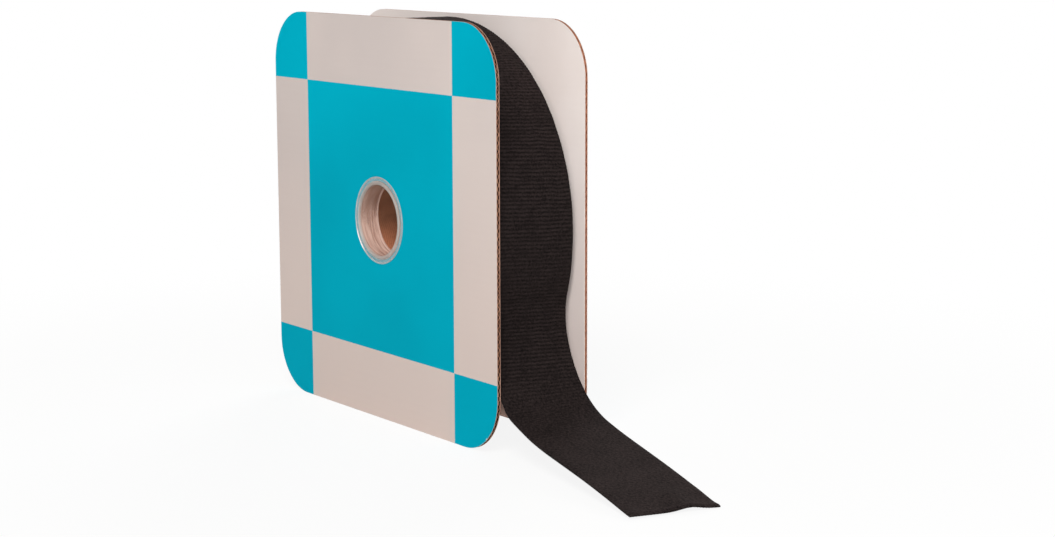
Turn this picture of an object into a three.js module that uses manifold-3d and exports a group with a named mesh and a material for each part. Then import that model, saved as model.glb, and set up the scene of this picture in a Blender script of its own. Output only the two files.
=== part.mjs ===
import * as THREE from 'three';
import { mergeVertices } from 'three/addons/utils/BufferGeometryUtils.js';
import Module from 'manifold-3d';

// A reel of hook and loop tape. Two square flanges of corrugated board sit on a paper core,
// held by two plastic bushings. The tape is wound between them, and its free end runs out
// to the surface that the reel stands on.
// Millimetres, +Z up. The origin is on the reel's axis, halfway between the flanges, and
// +Y runs along the axis from the front flange to the rear one.

// Flanges
const flangeSide = 177.8;
const flangeCornerRadius = 23.7;
const flangeSpacing = 43.34;

// Corrugated board, from one liner to the other
const linerThickness = 0.28;
const mediumThickness = 0.2;
const fluteHeight = 1.0;
const flutePitch = 3.4;
const fluteCrestLength = 0.85;
const glueLine = 0.04;

// Bushings
const boreRadius = 16.0;
const barrelWall = 1.1;
const barrelLength = 9.0;
const barrelLeadChamfer = 0.5;
const lipRadius = 19.0;
const lipThickness = 0.3;
const lipRimWidth = 0.6;
const lipRimHeight = 0.15;
const hubRingWidth = 0.7;
const hubRingHeight = 0.2;
const hubMouthRadius = 0.4;
const grooveWallRun = 0.15;

// Core, a tube of two bonded paper plies
const innerPlyThickness = 1.6;
const outerPlyThickness = 2.45;

// Tape, a web of hooks bonded under a web of loops
const tapeWidth = 38.1;
const hookThickness = 0.7;
const loopThickness = 0.86;
const tapeOffset = -0.3;

// Winding
const rollRadius = 85.2;
const outerTurns = 1.5;
const turnGap = 0.45;
const slackHeight = 2.6;
const slackAngle = THREE.MathUtils.degToRad(110);
const slackSpread = THREE.MathUtils.degToRad(126);
const stripThickness = 0.15;
const stripArc = THREE.MathUtils.degToRad(40);
const stripWidth = 30;

// Free end of the tape
const leaveAngle = THREE.MathUtils.degToRad(-17);
const tailLength = 153;
const tailBendRadius = 39.5;
const tailEndRadius = 20;
const tailHeading = THREE.MathUtils.degToRad(-8.7);
const tailTurnLength = 54;

// Clearances
const flangeRunningClearance = 0.3;
const flangeSlack = 0.15;
const barrelFit = 0.15;
const seatClearance = 0.1;
const windingSeat = 0.3;
const tailCutGap = 0.3;
const tailFloorGap = 0.05;

// Fineness of the facets
const roundSegments = 48;
const cornerSegments = 8;
const stepsPerTurn = 72;
const tailSteps = 44;

// Sizes that follow from the ones above
const boardThickness = 2 * linerThickness + 2 * glueLine + fluteHeight;
const innerFaceY = flangeSpacing / 2;
const barrelRadius = boreRadius + barrelWall;
const flangeHoleRadius = barrelRadius + flangeRunningClearance;
const coreBoreRadius = barrelRadius + barrelFit;
const coreLength = flangeSpacing - 2 * flangeSlack;
const innerPlyRadius = coreBoreRadius + innerPlyThickness;
const outerPlyBore = innerPlyRadius + glueLine;
const coreRadius = outerPlyBore + outerPlyThickness;
const tapeThickness = hookThickness + glueLine + loopThickness;
const turnPitch = tapeThickness + turnGap;
const innerTurnsBore = coreRadius + stripThickness + 2 * seatClearance;
const innerTurnsRadius = rollRadius - tapeThickness - turnPitch * outerTurns - windingSeat;
const floorZ = -flangeSide / 2;

// Materials
const paint = (color, roughness) => new THREE.MeshStandardMaterial({ color, roughness, metalness: 0 });
const printedBoard = paint(0x00a3ba, 0.55);
const whiteBoard = paint(0xd9d0ca, 0.7);
const kraft = paint(0xa8795c, 0.9);
const coreKraft = paint(0x8f6244, 0.9);
const bushingPlastic = paint(0xd8d6d0, 0.4);
const loopWeb = paint(0x1c1817, 0.95);
const hookWeb = paint(0x151313, 0.7);
const stripFilm = paint(0xd8c9a0, 0.6);

const wasm = await Module();
wasm.setup();

function toSolid(geometry) {
  const bare = geometry.clone();
  bare.deleteAttribute('normal');
  bare.deleteAttribute('uv');
  const merged = mergeVertices(bare, 1e-5);
  return new wasm.Manifold(new wasm.Mesh({
    numProp: 3,
    vertProperties: Float32Array.from(merged.attributes.position.array),
    triVerts: Uint32Array.from(merged.index.array),
  }));
}

function toGeometry(solid) {
  const mesh = solid.getMesh();
  const geometry = new THREE.BufferGeometry();
  geometry.setAttribute('position', new THREE.BufferAttribute(mesh.vertProperties, 3));
  geometry.setIndex(new THREE.BufferAttribute(mesh.triVerts, 1));
  return geometry;
}

// Extrudes a shape drawn in X and Z along +Y, from the height given
function plate(shape, thickness, startY) {
  const geometry = new THREE.ExtrudeGeometry(shape, { depth: thickness, bevelEnabled: false });
  geometry.rotateX(Math.PI / 2);
  geometry.translate(0, startY + thickness, 0);
  return geometry;
}

function circlePoints(radius) {
  const points = [];
  for (let i = 0; i < roundSegments; i += 1) {
    const angle = 2 * Math.PI * i / roundSegments;
    points.push(new THREE.Vector2(radius * Math.cos(angle), radius * Math.sin(angle)));
  }
  return points;
}

function flangeShape() {
  const reach = flangeSide / 2 - flangeCornerRadius;
  const points = [];
  for (let corner = 0; corner < 4; corner += 1) {
    const middle = Math.PI / 4 + corner * Math.PI / 2;
    const centreX = reach * Math.sign(Math.cos(middle));
    const centreZ = reach * Math.sign(Math.sin(middle));
    for (let i = 0; i <= cornerSegments; i += 1) {
      const angle = middle - Math.PI / 4 + Math.PI / 2 * i / cornerSegments;
      points.push(new THREE.Vector2(
        centreX + flangeCornerRadius * Math.cos(angle),
        centreZ + flangeCornerRadius * Math.sin(angle),
      ));
    }
  }
  const shape = new THREE.Shape(points);
  shape.holes.push(new THREE.Path(circlePoints(flangeHoleRadius)));
  return shape;
}

// The medium's wave across the flutes: flat crests and troughs joined by straight flanks
function waveShape() {
  const flutes = Math.ceil(flangeSide / flutePitch) + 2;
  const swing = (fluteHeight - mediumThickness) / 2;
  const start = -flutes * flutePitch / 2;
  const middle = [];
  for (let i = 0; i < flutes; i += 1) {
    const low = start + i * flutePitch;
    const high = low + flutePitch / 2;
    middle.push([low, -swing], [low + fluteCrestLength, -swing]);
    middle.push([high, swing], [high + fluteCrestLength, swing]);
  }
  const upper = middle.map(([along, y]) => new THREE.Vector2(along, y + mediumThickness / 2));
  const lower = middle.map(([along, y]) => new THREE.Vector2(along, y - mediumThickness / 2));
  return new THREE.Shape([...lower, ...upper.reverse()]);
}

// The wave is extruded along X, so the flutes lie level, and is then cut to the flange's outline
function mediumGeometry(startY) {
  const wave = new THREE.ExtrudeGeometry(waveShape(), { depth: 2 * flangeSide, bevelEnabled: false });
  wave.translate(0, 0, -flangeSide);
  const alongZ = new THREE.Vector3(0, 0, 1);
  const acrossY = new THREE.Vector3(0, 1, 0);
  const alongX = new THREE.Vector3(-1, 0, 0);
  wave.applyMatrix4(new THREE.Matrix4().makeBasis(alongZ, acrossY, alongX));
  wave.translate(0, startY + fluteHeight / 2, 0);
  const outline = plate(flangeShape(), 2 * boardThickness, startY + fluteHeight / 2 - boardThickness);
  return toGeometry(toSolid(wave).intersect(toSolid(outline)));
}

// A flange's layers, from its inner face outward; side is -1 at the front and 1 at the rear
function addFlange(group, name, side) {
  const layers = [
    ['inner_liner', linerThickness, whiteBoard],
    ['fluted_medium', fluteHeight, kraft],
    ['outer_liner', linerThickness, printedBoard],
  ];
  let depth = innerFaceY;
  for (const [layer, thickness, material] of layers) {
    const startY = side > 0 ? depth : -depth - thickness;
    const geometry = layer === 'fluted_medium'
      ? mediumGeometry(startY)
      : plate(flangeShape(), thickness, startY);
    addMesh(group, `${name}_${layer}`, geometry, material);
    depth += thickness + glueLine;
  }
}

// A turned ring or tube about the axis; the profile lists [radius, y] counter-clockwise
function turned(profile) {
  const points = profile.map(([radius, y]) => new THREE.Vector2(radius, y));
  points.push(points[0].clone());
  return new THREE.LatheGeometry(points, roundSegments);
}

function tube(inside, outside, length, centreY) {
  const low = centreY - length / 2;
  const high = centreY + length / 2;
  return turned([[inside, low], [outside, low], [outside, high], [inside, high]]);
}

// The bushing's heights run from the lip's underside, outward along the axis
function bushingGeometry(side) {
  const rimTop = lipThickness + lipRimHeight;
  const hubTop = lipThickness + hubRingHeight;
  const rimFoot = lipRadius - lipRimWidth;
  const hubFoot = boreRadius + hubMouthRadius + hubRingWidth;
  const mouthCut = hubMouthRadius * (1 - Math.SQRT1_2);
  const geometry = turned([
    [boreRadius, -barrelLength],
    [barrelRadius - barrelLeadChamfer, -barrelLength],
    [barrelRadius, -barrelLength + barrelLeadChamfer],
    [barrelRadius, 0],
    [lipRadius, 0],
    [lipRadius, rimTop],
    [rimFoot, rimTop],
    [rimFoot - grooveWallRun, lipThickness],
    [hubFoot + grooveWallRun, lipThickness],
    [hubFoot, hubTop],
    [boreRadius + hubMouthRadius, hubTop],
    [boreRadius + mouthCut, hubTop - mouthCut],
    [boreRadius, hubTop - hubMouthRadius],
  ]);
  geometry.translate(0, innerFaceY + boardThickness + flangeSlack, 0);
  if (side < 0) geometry.rotateX(Math.PI);
  return geometry;
}

// The strip that holds the tape's first turn to the core, bent to the core's surface
function stripGeometry() {
  const inside = coreRadius + seatClearance;
  const outside = inside + stripThickness;
  const steps = cornerSegments;
  const points = [];
  for (let i = 0; i <= steps; i += 1) {
    const angle = stripArc * (i / steps - 0.5);
    points.push(new THREE.Vector2(inside * Math.cos(angle), inside * Math.sin(angle)));
  }
  for (let i = steps; i >= 0; i -= 1) {
    const angle = stripArc * (i / steps - 0.5);
    points.push(new THREE.Vector2(outside * Math.cos(angle), outside * Math.sin(angle)));
  }
  return plate(new THREE.Shape(points), stripWidth, tapeOffset - stripWidth / 2);
}

// A flat web that follows stations along the tape, from one depth in the tape to another.
// Depth 0 is the face towards the core. Both faces are split along the same diagonal, so
// that bonded webs stay parallel where the tape twists.
function webGeometry(stations, lowDepth, highDepth) {
  const positions = [];
  const index = [];
  const corners = [[-0.5, lowDepth], [0.5, lowDepth], [0.5, highDepth], [-0.5, highDepth]];
  for (const { point, out, across } of stations) {
    for (const [share, depth] of corners) {
      const corner = point.clone().addScaledVector(across, share * tapeWidth);
      corner.addScaledVector(out, depth - tapeThickness / 2);
      positions.push(corner.x, corner.y, corner.z);
    }
  }
  const last = stations.length - 1;
  for (let i = 0; i < last; i += 1) {
    for (let side = 0; side < 4; side += 1) {
      const a = 4 * i + side;
      const b = 4 * i + (side + 1) % 4;
      if (side < 2) index.push(a, b, a + 4, b, b + 4, a + 4);
      else index.push(a, b, b + 4, a, b + 4, a + 4);
    }
  }
  index.push(0, 2, 1, 0, 3, 2);
  index.push(4 * last, 4 * last + 1, 4 * last + 2, 4 * last, 4 * last + 2, 4 * last + 3);
  const geometry = new THREE.BufferGeometry();
  geometry.setAttribute('position', new THREE.Float32BufferAttribute(positions, 3));
  geometry.setIndex(index);
  return geometry;
}

// The last turn is slack, and stands off the roll round slackAngle
function slackAt(angle) {
  const away = Math.min(Math.abs(angle - slackAngle) / slackSpread, 1);
  return slackHeight * (1 + Math.cos(Math.PI * away)) / 2;
}

// The outer turns wind clockwise, seen from the front, and grow by one pitch a turn
function windingStations() {
  const steps = Math.round(stepsPerTurn * outerTurns);
  const stations = [];
  for (let i = 0; i <= steps; i += 1) {
    const turnsLeft = outerTurns * (1 - i / steps);
    const angle = leaveAngle + 2 * Math.PI * turnsLeft;
    const radius = rollRadius - tapeThickness / 2 - turnPitch * turnsLeft + slackAt(angle);
    const out = new THREE.Vector3(Math.cos(angle), 0, Math.sin(angle));
    const point = out.clone().multiplyScalar(radius).setY(tapeOffset);
    stations.push({ point, out, across: new THREE.Vector3(0, 1, 0) });
  }
  return stations;
}

// How far a tail that ends at the given slope comes down, for the tape's direction at its start
function tailDrop(startSlope, slope) {
  const bend = tailBendRadius * (Math.cos(slope) - Math.cos(startSlope));
  const run = tailLength - tailBendRadius * (slope - startSlope) - tailEndRadius * Math.abs(slope);
  return bend - run * Math.sin(slope) + tailEndRadius * (1 - Math.cos(slope));
}

// The slope at which the end of the tail comes to lie on the floor
function tailSlope(startSlope, drop) {
  let steep = -Math.PI / 3;
  let shallow = Math.PI / 6;
  for (let i = 0; i < 60; i += 1) {
    const slope = (steep + shallow) / 2;
    if (tailDrop(startSlope, slope) > drop) steep = slope;
    else shallow = slope;
  }
  return (steep + shallow) / 2;
}

// The tail leaves the roll along its tangent, bends outward, slopes down and ends flat
function tailStations() {
  const radius = rollRadius - tapeThickness / 2;
  const startSlope = leaveAngle - Math.PI / 2;
  const point = new THREE.Vector3(Math.cos(leaveAngle), 0, Math.sin(leaveAngle));
  point.multiplyScalar(radius).setY(tapeOffset);
  const drop = point.z - (floorZ + tailFloorGap + tapeThickness / 2);
  const slope = tailSlope(startSlope, drop);
  const bendEnd = tailBendRadius * (slope - startSlope);
  const slopeEnd = tailLength - tailEndRadius * Math.abs(slope);
  const slopeAt = (s) => {
    if (s < bendEnd) return startSlope + s / tailBendRadius;
    if (s < slopeEnd) return slope;
    return slope * (tailLength - s) / (tailLength - slopeEnd);
  };
  const headingAt = (s) => tailHeading * THREE.MathUtils.smoothstep(s, 0, tailTurnLength);
  const directionAt = (s) => new THREE.Vector3(
    Math.cos(slopeAt(s)) * Math.cos(headingAt(s)),
    Math.cos(slopeAt(s)) * Math.sin(headingAt(s)),
    Math.sin(slopeAt(s)),
  );
  const stations = [];
  let reached = 0;
  for (let i = 0; i <= tailSteps; i += 1) {
    const s = tailCutGap + (tailLength - tailCutGap) * i / tailSteps;
    point.addScaledVector(directionAt((reached + s) / 2), s - reached);
    reached = s;
    const heading = headingAt(s);
    const across = new THREE.Vector3(-Math.sin(heading), Math.cos(heading), 0);
    const out = directionAt(s).cross(across).normalize();
    stations.push({ point: point.clone(), out, across });
  }
  return stations;
}

// Least distance between the outer face of one turn and the inner face of another
function leastTurnGap(stations) {
  let least = Infinity;
  stations.forEach((inner, i) => {
    const outerFace = inner.point.clone().addScaledVector(inner.out, tapeThickness / 2);
    for (const outer of stations.slice(i + stepsPerTurn / 2)) {
      const innerFace = outer.point.clone().addScaledVector(outer.out, -tapeThickness / 2);
      least = Math.min(least, outerFace.distanceTo(innerFace));
    }
  });
  return least;
}

function addMesh(group, name, geometry, material) {
  const mesh = new THREE.Mesh(geometry, material);
  mesh.name = name;
  group.add(mesh);
}

function addTape(group, name, stations) {
  const loopDepth = hookThickness + glueLine;
  addMesh(group, `${name}_hook_web`, webGeometry(stations, 0, hookThickness), hookWeb);
  addMesh(group, `${name}_loop_web`, webGeometry(stations, loopDepth, tapeThickness), loopWeb);
}

const reel = new THREE.Group();
const frontFlange = new THREE.Group();
const rearFlange = new THREE.Group();
const spool = new THREE.Group();
const tail = new THREE.Group();
reel.add(frontFlange, rearFlange, spool, tail);

addFlange(frontFlange, 'front', -1);
addFlange(rearFlange, 'rear', 1);

addMesh(spool, 'core_inner_ply', tube(coreBoreRadius, innerPlyRadius, coreLength, 0), coreKraft);
addMesh(spool, 'core_outer_ply', tube(outerPlyBore, coreRadius, coreLength, 0), coreKraft);
addMesh(spool, 'front_bushing', bushingGeometry(-1), bushingPlastic);
addMesh(spool, 'rear_bushing', bushingGeometry(1), bushingPlastic);
addMesh(spool, 'start_strip', stripGeometry(), stripFilm);
addMesh(spool, 'tape_inner_turns', tube(innerTurnsBore, innerTurnsRadius, tapeWidth, tapeOffset), loopWeb);

const winding = windingStations();
addTape(spool, 'outer_turns', winding);
addTape(tail, 'tail', tailStations());
console.log(`least gap between turns: ${leastTurnGap(winding).toFixed(3)} mm`);

export default reel;
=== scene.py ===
import math

import bmesh
import bpy
from mathutils import Matrix, Vector, noise
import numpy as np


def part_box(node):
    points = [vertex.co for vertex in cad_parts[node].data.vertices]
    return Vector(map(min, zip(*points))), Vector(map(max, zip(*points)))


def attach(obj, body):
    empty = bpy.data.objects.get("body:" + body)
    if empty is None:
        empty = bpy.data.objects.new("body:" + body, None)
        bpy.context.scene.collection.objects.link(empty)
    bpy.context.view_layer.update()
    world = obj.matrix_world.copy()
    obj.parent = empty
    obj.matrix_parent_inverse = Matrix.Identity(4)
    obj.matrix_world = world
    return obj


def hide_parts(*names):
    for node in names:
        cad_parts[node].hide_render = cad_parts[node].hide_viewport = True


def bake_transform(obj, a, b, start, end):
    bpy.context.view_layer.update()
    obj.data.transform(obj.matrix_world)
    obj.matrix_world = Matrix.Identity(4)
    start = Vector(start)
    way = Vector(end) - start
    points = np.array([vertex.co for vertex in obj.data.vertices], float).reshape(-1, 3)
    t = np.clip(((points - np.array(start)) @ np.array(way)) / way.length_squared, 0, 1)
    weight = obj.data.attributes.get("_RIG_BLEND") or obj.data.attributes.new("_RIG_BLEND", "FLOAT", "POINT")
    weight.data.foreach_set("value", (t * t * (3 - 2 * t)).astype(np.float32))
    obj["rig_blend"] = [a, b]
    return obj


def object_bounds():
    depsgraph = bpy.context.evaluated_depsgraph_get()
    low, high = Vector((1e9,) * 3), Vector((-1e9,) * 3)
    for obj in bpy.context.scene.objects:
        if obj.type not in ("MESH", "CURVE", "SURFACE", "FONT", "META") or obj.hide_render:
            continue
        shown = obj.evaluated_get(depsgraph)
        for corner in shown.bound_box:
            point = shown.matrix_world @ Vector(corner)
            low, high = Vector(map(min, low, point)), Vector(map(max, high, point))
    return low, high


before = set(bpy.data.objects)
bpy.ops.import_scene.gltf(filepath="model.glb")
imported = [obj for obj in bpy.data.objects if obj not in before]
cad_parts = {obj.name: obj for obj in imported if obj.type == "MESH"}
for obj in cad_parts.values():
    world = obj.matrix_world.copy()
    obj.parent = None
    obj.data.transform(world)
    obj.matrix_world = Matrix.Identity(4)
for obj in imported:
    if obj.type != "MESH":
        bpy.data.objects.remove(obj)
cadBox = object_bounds()
mm = 0.001
print("frame loaded:", len(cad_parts), "nodes")


# shader helpers
patchy = (0.3, 0.7)  # noise levels between which two tones blend


class Wire:
    # a socket that takes part in Python sums
    def __init__(self, finish, socket):
        self.finish = finish
        self.socket = socket

    def math(self, operation, *values):
        return self.finish.node("ShaderNodeMath", {"operation": operation}, dict(enumerate(values)))

    def __add__(self, other):
        return self.math("ADD", self, other)

    def __radd__(self, other):
        return self.math("ADD", other, self)

    def __sub__(self, other):
        return self.math("SUBTRACT", self, other)

    def __rsub__(self, other):
        return self.math("SUBTRACT", other, self)

    def __mul__(self, other):
        return self.math("MULTIPLY", self, other)

    def __rmul__(self, other):
        return self.math("MULTIPLY", other, self)

    def __abs__(self):
        return self.math("ABSOLUTE", self)

    def above(self, other):
        return self.math("MAXIMUM", self, other)

    def below(self, other):
        return self.math("MINIMUM", self, other)

    def root(self):
        return self.math("SQRT", self)

    def wave(self):
        return self.math("SINE", self)


class Finish:
    # one material, or the world's light, built node by node
    def __init__(self, name, world=None):
        self.material = world or bpy.data.materials.new(name)
        self.material.use_nodes = True
        self.tree = self.material.node_tree
        self.shader = self.tree.nodes["Background" if world else "Principled BSDF"]

    def feed(self, node, values):
        for key, value in values.items():
            if isinstance(value, Wire):
                self.tree.links.new(value.socket, node.inputs[key])
            else:
                node.inputs[key].default_value = value

    def node(self, kind, settings=None, values=None):
        made = self.tree.nodes.new(kind)
        settings = dict(settings or {})
        out = settings.pop("out", 0)
        for key, value in settings.items():
            setattr(made, key, value)
        self.feed(made, values or {})
        return Wire(self, made.outputs[out])

    def coords(self, kind="Object"):
        return self.node("ShaderNodeTexCoord", {"out": kind})

    def axis(self, vector, name):
        return self.node("ShaderNodeSeparateXYZ", {"out": name}, {0: vector})

    def stretched(self, vector, scale):
        return self.node("ShaderNodeVectorMath", {"operation": "MULTIPLY"}, {0: vector, 1: scale})

    def grain(self, vector, scale, detail=3.0, rough=0.5):
        values = {"Vector": vector, "Scale": scale, "Detail": detail, "Roughness": rough}
        return self.node("ShaderNodeTexNoise", {"out": "Fac"}, values)

    def rise(self, value, low, high):
        values = {"Value": value, "From Min": low, "From Max": high}
        return self.node("ShaderNodeMapRange", {"interpolation_type": "SMOOTHSTEP"}, values)

    def mix(self, first, second, share):
        values = {"Factor": share, 6: first, 7: second}
        return self.node("ShaderNodeMix", {"data_type": "RGBA", "out": 2}, values)

    def bump(self, height, depth):
        return self.node("ShaderNodeBump", {}, {"Height": height, "Distance": depth, "Strength": 1.0})

    def shade(self, values):
        self.feed(self.shader, values)
        return self.material


def srgb(red, green, blue):
    # a colour read as 0 to 255, as the shader wants it
    def linear(level):
        level /= 255
        return level / 12.92 if level <= 0.04045 else ((level + 0.055) / 1.055) ** 2.4
    return (linear(red), linear(green), linear(blue), 1.0)


def spotDistance(x, z, spot):
    across, upward = x - spot[0], z - spot[1]
    return (across * across + upward * upward).root()


# mesh helpers
def makePiece(name, bm, finishes, sharpDegrees=40):
    mesh = bpy.data.meshes.new(name)
    bm.to_mesh(mesh)
    bm.free()
    for finish in finishes:
        mesh.materials.append(finish)
    mesh.polygons.foreach_set("use_smooth", [True] * len(mesh.polygons))
    mesh.set_sharp_from_angle(angle=math.radians(sharpDegrees))
    piece = bpy.data.objects.new(name, mesh)
    bpy.context.scene.collection.objects.link(piece)
    return piece


def settle(piece):
    # bakes a piece's modifiers into its mesh
    bpy.context.view_layer.update()
    solved = piece.evaluated_get(bpy.context.evaluated_depsgraph_get())
    mesh = bpy.data.meshes.new_from_object(solved)
    piece.modifiers.clear()
    old = piece.data
    piece.data = mesh
    bpy.data.meshes.remove(old)
    mesh.name = piece.name
    return piece


def thicken(bm, shift):
    # grows a sheet into a closed slab and returns the points that moved
    grown = bmesh.ops.extrude_face_region(bm, geom=bm.faces[:])
    moved = [item for item in grown["geom"] if isinstance(item, bmesh.types.BMVert)]
    bmesh.ops.translate(bm, verts=moved, vec=shift)
    return moved


def mapFlat(bm, name, flatPlace):
    # keeps each point's place on the flat sheet as the UV map, in metres
    uv = bm.loops.layers.uv.new(name)
    for face in bm.faces:
        for loop in face.loops:
            loop[uv].uv = flatPlace(loop.vert.co)


def join(piece, body, slot, *nodes):
    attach(piece, body)
    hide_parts(*nodes)


# camera, at the photograph's angle
photoCamera = {
    "place": (0.77776, -0.51183, 0.12854),
    "yaw": 53.812,
    "pitch": 9.303,
    "roll": -0.134,
    "lens": 71.97,
    "sensor": 36.0,
    "clip": (0.02, 60.0),
}


def makeCamera():
    data = bpy.data.cameras.new("photoCamera")
    data.sensor_fit = "HORIZONTAL"
    data.sensor_width = photoCamera["sensor"]
    data.lens = photoCamera["lens"]
    data.clip_start, data.clip_end = photoCamera["clip"]
    camera = bpy.data.objects.new("photoCamera", data)
    bpy.context.scene.collection.objects.link(camera)
    turn = Matrix.Rotation(math.radians(photoCamera["yaw"]), 4, "Z")
    tilt = Matrix.Rotation(math.radians(90 - photoCamera["pitch"]), 4, "X")
    lean = Matrix.Rotation(math.radians(photoCamera["roll"]), 4, "Z")
    camera.matrix_world = Matrix.Translation(photoCamera["place"]) @ turn @ tilt @ lean
    bpy.context.scene.camera = camera


makeCamera()
print("camera placed")


# light, floor and backdrop
studio = {
    "ambient": 0.12,
    "white": (1, 1, 1, 1),
    "floorSize": 12.0,
    "floorColour": srgb(250, 249, 247),
    "floorGlow": 0.88,
    "glowRange": (0.15, 0.45),  # beyond this far from the object the floor is all glow
    "lamps": [
        # name, place, size, watts
        ("keySoftbox", (0.95, -0.85, 1.2), 0.8, 21.5),
        ("cameraSoftbox", (1.3, -0.885, 0.28), 0.07, 8.4),
        ("backSoftbox", (-0.9, 1.1, 0.7), 0.9, 14.0),
    ],
    "aim": (0.03, 0.0, -0.01),
}


def seenDirectly(finish):
    # 1 for the rays that show the background itself
    kinds = ("Is Camera Ray", "Is Glossy Ray", "Is Transmission Ray")
    rays = [finish.node("ShaderNodeLightPath", {"out": kind}) for kind in kinds]
    return rays[0].above(rays[1]).above(rays[2])


def makeWorld():
    world = bpy.data.worlds.new("studio")
    bpy.context.scene.world = world
    finish = Finish("studio", world)
    level = studio["ambient"] + (1 - studio["ambient"]) * seenDirectly(finish)
    finish.shade({"Color": studio["white"], "Strength": level})


def makeFloor():
    bm = bmesh.new()
    bmesh.ops.create_grid(bm, x_segments=1, y_segments=1, size=studio["floorSize"])
    bmesh.ops.translate(bm, verts=bm.verts, vec=(0, 0, cadBox[0].z))
    finish = Finish("paleFloor")
    finish.shade({"Base Color": studio["floorColour"], "Roughness": 0.9, "Specular IOR Level": 0.0})
    glow = finish.node("ShaderNodeEmission", {}, {"Color": studio["white"], "Strength": 1.0})
    place = finish.coords()
    x = finish.axis(place, "X")
    y = finish.axis(place, "Y")
    apart = finish.rise((x * x + y * y).root(), *studio["glowRange"])
    share = seenDirectly(finish) * (studio["floorGlow"] + (1 - studio["floorGlow"]) * apart)
    surface = Wire(finish, finish.shader.outputs[0])
    both = finish.node("ShaderNodeMixShader", {}, {0: share, 1: surface, 2: glow})
    finish.feed(finish.tree.nodes["Material Output"], {"Surface": both})
    makePiece("floor", bm, [finish.material])


def makeLamps():
    for name, place, size, watts in studio["lamps"]:
        data = bpy.data.lights.new(name, "AREA")
        data.shape = "DISK"
        data.size = size
        data.energy = watts
        lamp = bpy.data.objects.new(name, data)
        bpy.context.scene.collection.objects.link(lamp)
        lamp.location = place
        aim = Vector(studio["aim"]) - Vector(place)
        lamp.rotation_euler = aim.to_track_quat("-Z", "Y").to_euler()


bpy.context.scene.view_settings.view_transform = "Standard"
makeWorld()
makeFloor()
makeLamps()
print("studio lit")


# flanges of corrugated board
board = {
    "cornerRadius": 23.7 * mm,
    "cornerSteps": 20,
    "holeRadius": 17.4 * mm,
    "holeSteps": 128,
    "flutePitch": 3.4 * mm,
    "fluteSteps": 12,
    "fluteColumns": 6,
    "fluteSpan": 2.2,  # the untrimmed sheet's width, in half sides
    "mediumThickness": 0.22 * mm,
    "crest": 0.425 * mm,  # how far the flutes are shifted up
    "cutterDepth": 8 * mm,
}
printBlocks = {
    "left": -59.7 * mm,
    "right": 57.6 * mm,
    "top": 58.3 * mm,
    "bottom": -58.6 * mm,
    "softness": 0.12 * mm,
    "stray": 0.25 * mm,  # how far the ink's edges wander
    "strayGrain": (900.0, 3.0),
    "teal": srgb(0, 166, 189),
    "tealDeep": srgb(0, 158, 181),
    "tealLit": srgb(0, 175, 199),  # painted light: lighter towards the upper left, as lit from above
    "tealLitRange": (10 * mm, 90 * mm),
    "tealSlant": 0.5,
    "white": srgb(212, 199, 193),
    "whiteCool": srgb(205, 193, 188),
    "whiteLow": srgb(212, 193, 184),  # the white is warmer and a little darker towards the foot
    "whiteLowRange": (70 * mm, -80 * mm),
    "whiteLowShare": 0.8,
    "cloudGrain": (14.0, 2.0),
    "rubbed": srgb(196, 200, 198),
    "pinholeGrain": (2600.0, 2.0, 0.7),
    "pinholeRange": (0.76, 0.88),
    "pinholeShare": 0.1,
    "wear": 0.8 * mm,
    "wearGrain": (420.0, 4.0),
    "rimRange": (0.15 * mm, 0.6 * mm),  # the outline is rubbed pale, most of all at the foot
    "rimShare": 0.3,
    "footShare": 0.5,
    "footRange": (-70 * mm, -84 * mm),
    "scuff": (81.3 * mm, -82.7 * mm),  # a bare spot at a lower corner
    "scuffReach": (0.7 * mm, 1.3 * mm),
    "paperGrain": (1500.0, 4.0),
    "washboard": 0.35,
    "tooth": 0.5,
    "relief": 0.018 * mm,
}
linerTones = {
    "white": srgb(243, 233, 228),
    "warm": srgb(237, 225, 219),
    "low": srgb(222, 205, 198),  # painted shade: duller towards the foot, where less light falls
    "footShadeRange": (75 * mm, -75 * mm),
    "footShadeShare": 0.8,
    "litFoot": srgb(252, 210, 192),  # and warm along it
    # painted light: lighter and warmer along it, as though warm bounce light reached it
    "footRange": (-62 * mm, -87 * mm),
    "footShare": 0.85,
    "fleck": srgb(154, 104, 80),
    "fleckRange": (0.72, 0.9),
    "fleckShare": 0.22,
    "cloudGrain": (22.0, 3.0),
    "fibreStretch": (0.35, 1.0, 1.0),
    "fibreGrain": (1900.0, 3.0, 0.7),
    "washboard": 0.22,
    "tooth": 0.5,
    "relief": 0.02 * mm,
}
kraftTones = {
    # two tones that blend, and the fibres' darker one
    "fluting": (srgb(154, 104, 80), srgb(180, 130, 102), srgb(110, 72, 54)),
    "cutEdge": (srgb(166, 128, 112), srgb(184, 147, 130), srgb(138, 97, 79)),
    # the rear board's fluting takes an even kraft tone, with no painted flute shade, between paler liner
    # edges
    "evenFluting": (srgb(156, 100, 75), srgb(172, 114, 86), srgb(126, 78, 58)),
    "paleEdge": (srgb(222, 206, 197), srgb(232, 221, 214), srgb(198, 170, 154)),
    "fluteShade": srgb(14, 7, 5),
    "fluteShadeDepth": (0.0 * mm, 0.22 * mm),  # painted shade: the open flutes darken over this depth
    "fluteShadeShare": 0.97,
    "cloudGrain": (160.0, 4.0),
    "fibreStretch": (0.25, 1.0, 1.0),
    "fibreGrain": (2400.0, 4.0, 0.7),
    "fibreRange": (0.52, 0.75),
    "fibreShare": 0.55,
    "relief": 0.03 * mm,
}
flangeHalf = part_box("front_outer_liner")[1].x


def outlineDistance(x, z):
    # how far a point lies from the flange's outline, below zero inside
    reach = flangeHalf - board["cornerRadius"]
    across = abs(x) - reach
    upward = abs(z) - reach
    outX = across.above(0.0)
    outZ = upward.above(0.0)
    corner = (outX * outX + outZ * outZ).root()
    return corner + across.above(upward).below(0.0) - board["cornerRadius"]


def washboard(z):
    # the flutes show faintly through the liner
    return (z * (2 * math.pi / board["flutePitch"])).wave()


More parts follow.
